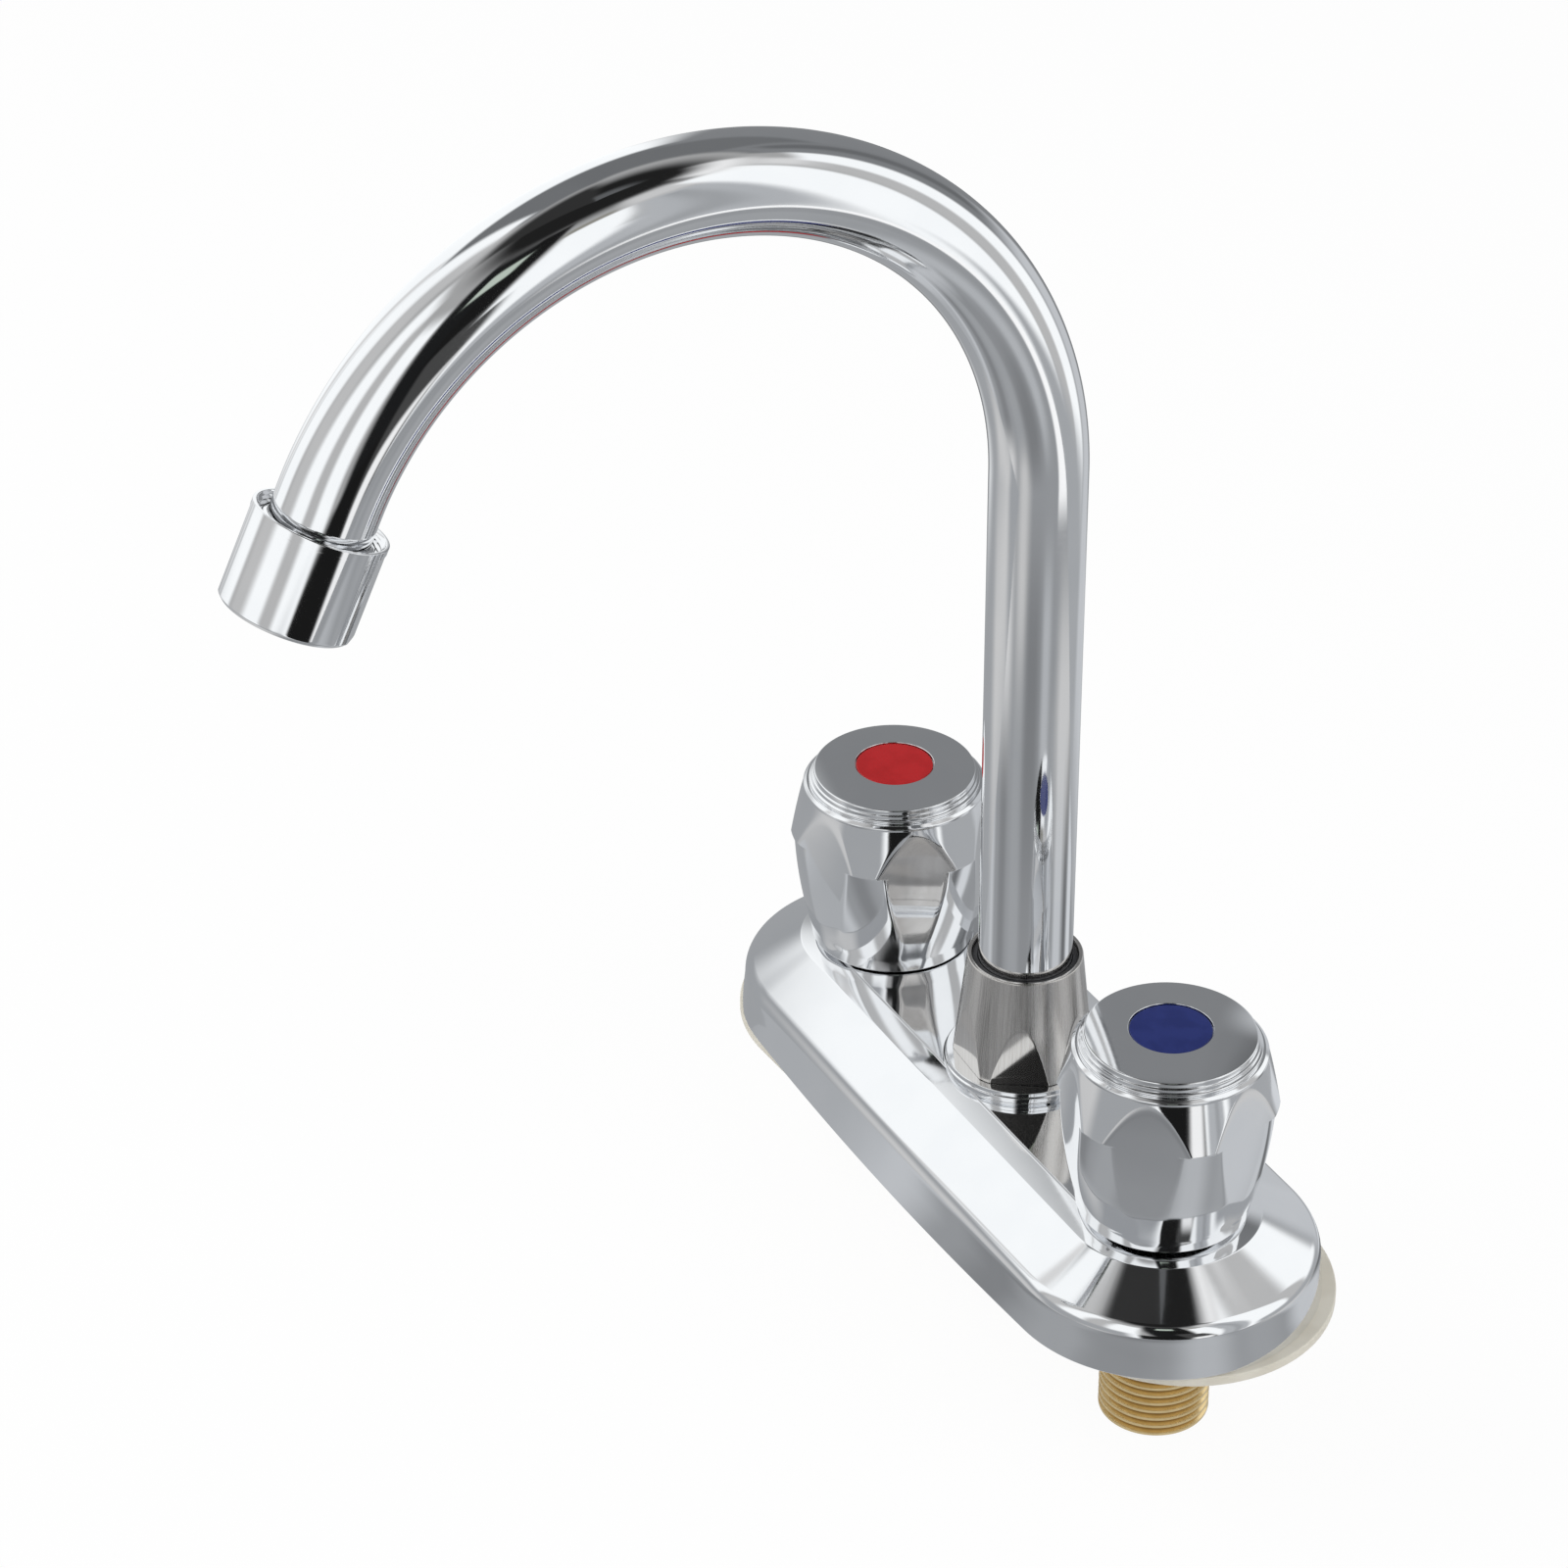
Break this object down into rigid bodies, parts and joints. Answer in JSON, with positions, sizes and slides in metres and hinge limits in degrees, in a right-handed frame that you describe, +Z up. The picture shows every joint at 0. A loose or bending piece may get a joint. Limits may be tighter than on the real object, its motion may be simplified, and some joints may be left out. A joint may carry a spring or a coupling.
{
  "type": "basin mixer tap",
  "caption": "Two-handle centreset basin mixer tap: a swivel gooseneck spout between quarter-turn handles on a hollow chromed deck plate.",
  "frame": {"origin": "middle of the base gasket's underside, on the deck it stands on, midway between the two inlets", "axes": "+Z up out of the deck, X along the two handles with hot at -X and cold at +X, and the spout reaching towards -Y at rest"},
  "size_m": [0.1652, 0.1879, 0.2575],
  "materials": {
    "chrome": "polished chrome plate",
    "satin_nickel": "satin nickel",
    "brass": "machined brass",
    "steel": "stainless steel",
    "disc_ceramic": "lapped alumina",
    "seal_rubber": "matt black rubber",
    "gasket_rubber": "pale cream rubber",
    "black_plastic": "satin black",
    "white_plastic": "white",
    "red_plastic": "glossy red",
    "blue_plastic": "glossy blue"
  },
  "bodies": {
    "base": {"deck_plate": "chrome", "base_gasket": "gasket_rubber", "spout_outlet_body": "brass", "spout_collar_ring": "chrome", "spout_nut": "satin_nickel", "spout_bush": "black_plastic", "hot_valve_body": "brass", "hot_deck_nut": "brass", "hot_cartridge_housing": "brass", "hot_fixed_disc": "disc_ceramic", "hot_seat_seal": "seal_rubber", "hot_housing_seal": "seal_rubber", "hot_crossover_tube": "brass", "cold_valve_body": "brass", "cold_deck_nut": "brass", "cold_cartridge_housing": "brass", "cold_fixed_disc": "disc_ceramic", "cold_seat_seal": "seal_rubber", "cold_housing_seal": "seal_rubber", "cold_crossover_tube": "brass"},
    "hot_handle_set": {"hot_handle": "chrome", "hot_handle_cap": "chrome", "hot_index_button": "red_plastic", "hot_handle_screw": "steel", "hot_spindle": "brass", "hot_spindle_clip": "steel", "hot_spindle_seals": "seal_rubber", "hot_moving_disc": "disc_ceramic"},
    "cold_handle_set": {"cold_handle": "chrome", "cold_handle_cap": "chrome", "cold_index_button": "blue_plastic", "cold_handle_screw": "steel", "cold_spindle": "brass", "cold_spindle_clip": "steel", "cold_spindle_seals": "seal_rubber", "cold_moving_disc": "disc_ceramic"},
    "spout": {"spout_tube": "chrome", "spout_base_sleeve": "brass", "spout_seals": "seal_rubber", "spout_slip_ring": "white_plastic", "spout_end_collar": "chrome", "aerator_housing": "chrome", "aerator_washer": "seal_rubber", "aerator_insert": "white_plastic", "aerator_screen": "steel"}
  },
  "joints": [
    {"name": "hot_handle_turn", "type": "hinge", "parent": "base", "child": "hot_handle_set", "pos_m": [-0.0508, 0, 0.03], "axis": [0, 0, 1], "range_deg": [0, 90]},
    {"name": "cold_handle_turn", "type": "hinge", "parent": "base", "child": "cold_handle_set", "pos_m": [0.0508, 0, 0.03], "axis": [0, 0, 1], "range_deg": [-90, 0]},
    {"name": "spout_swivel", "type": "hinge", "parent": "base", "child": "spout", "pos_m": [0, 0, 0.03], "axis": [0, 0, 1], "continuous": true}
  ]
}
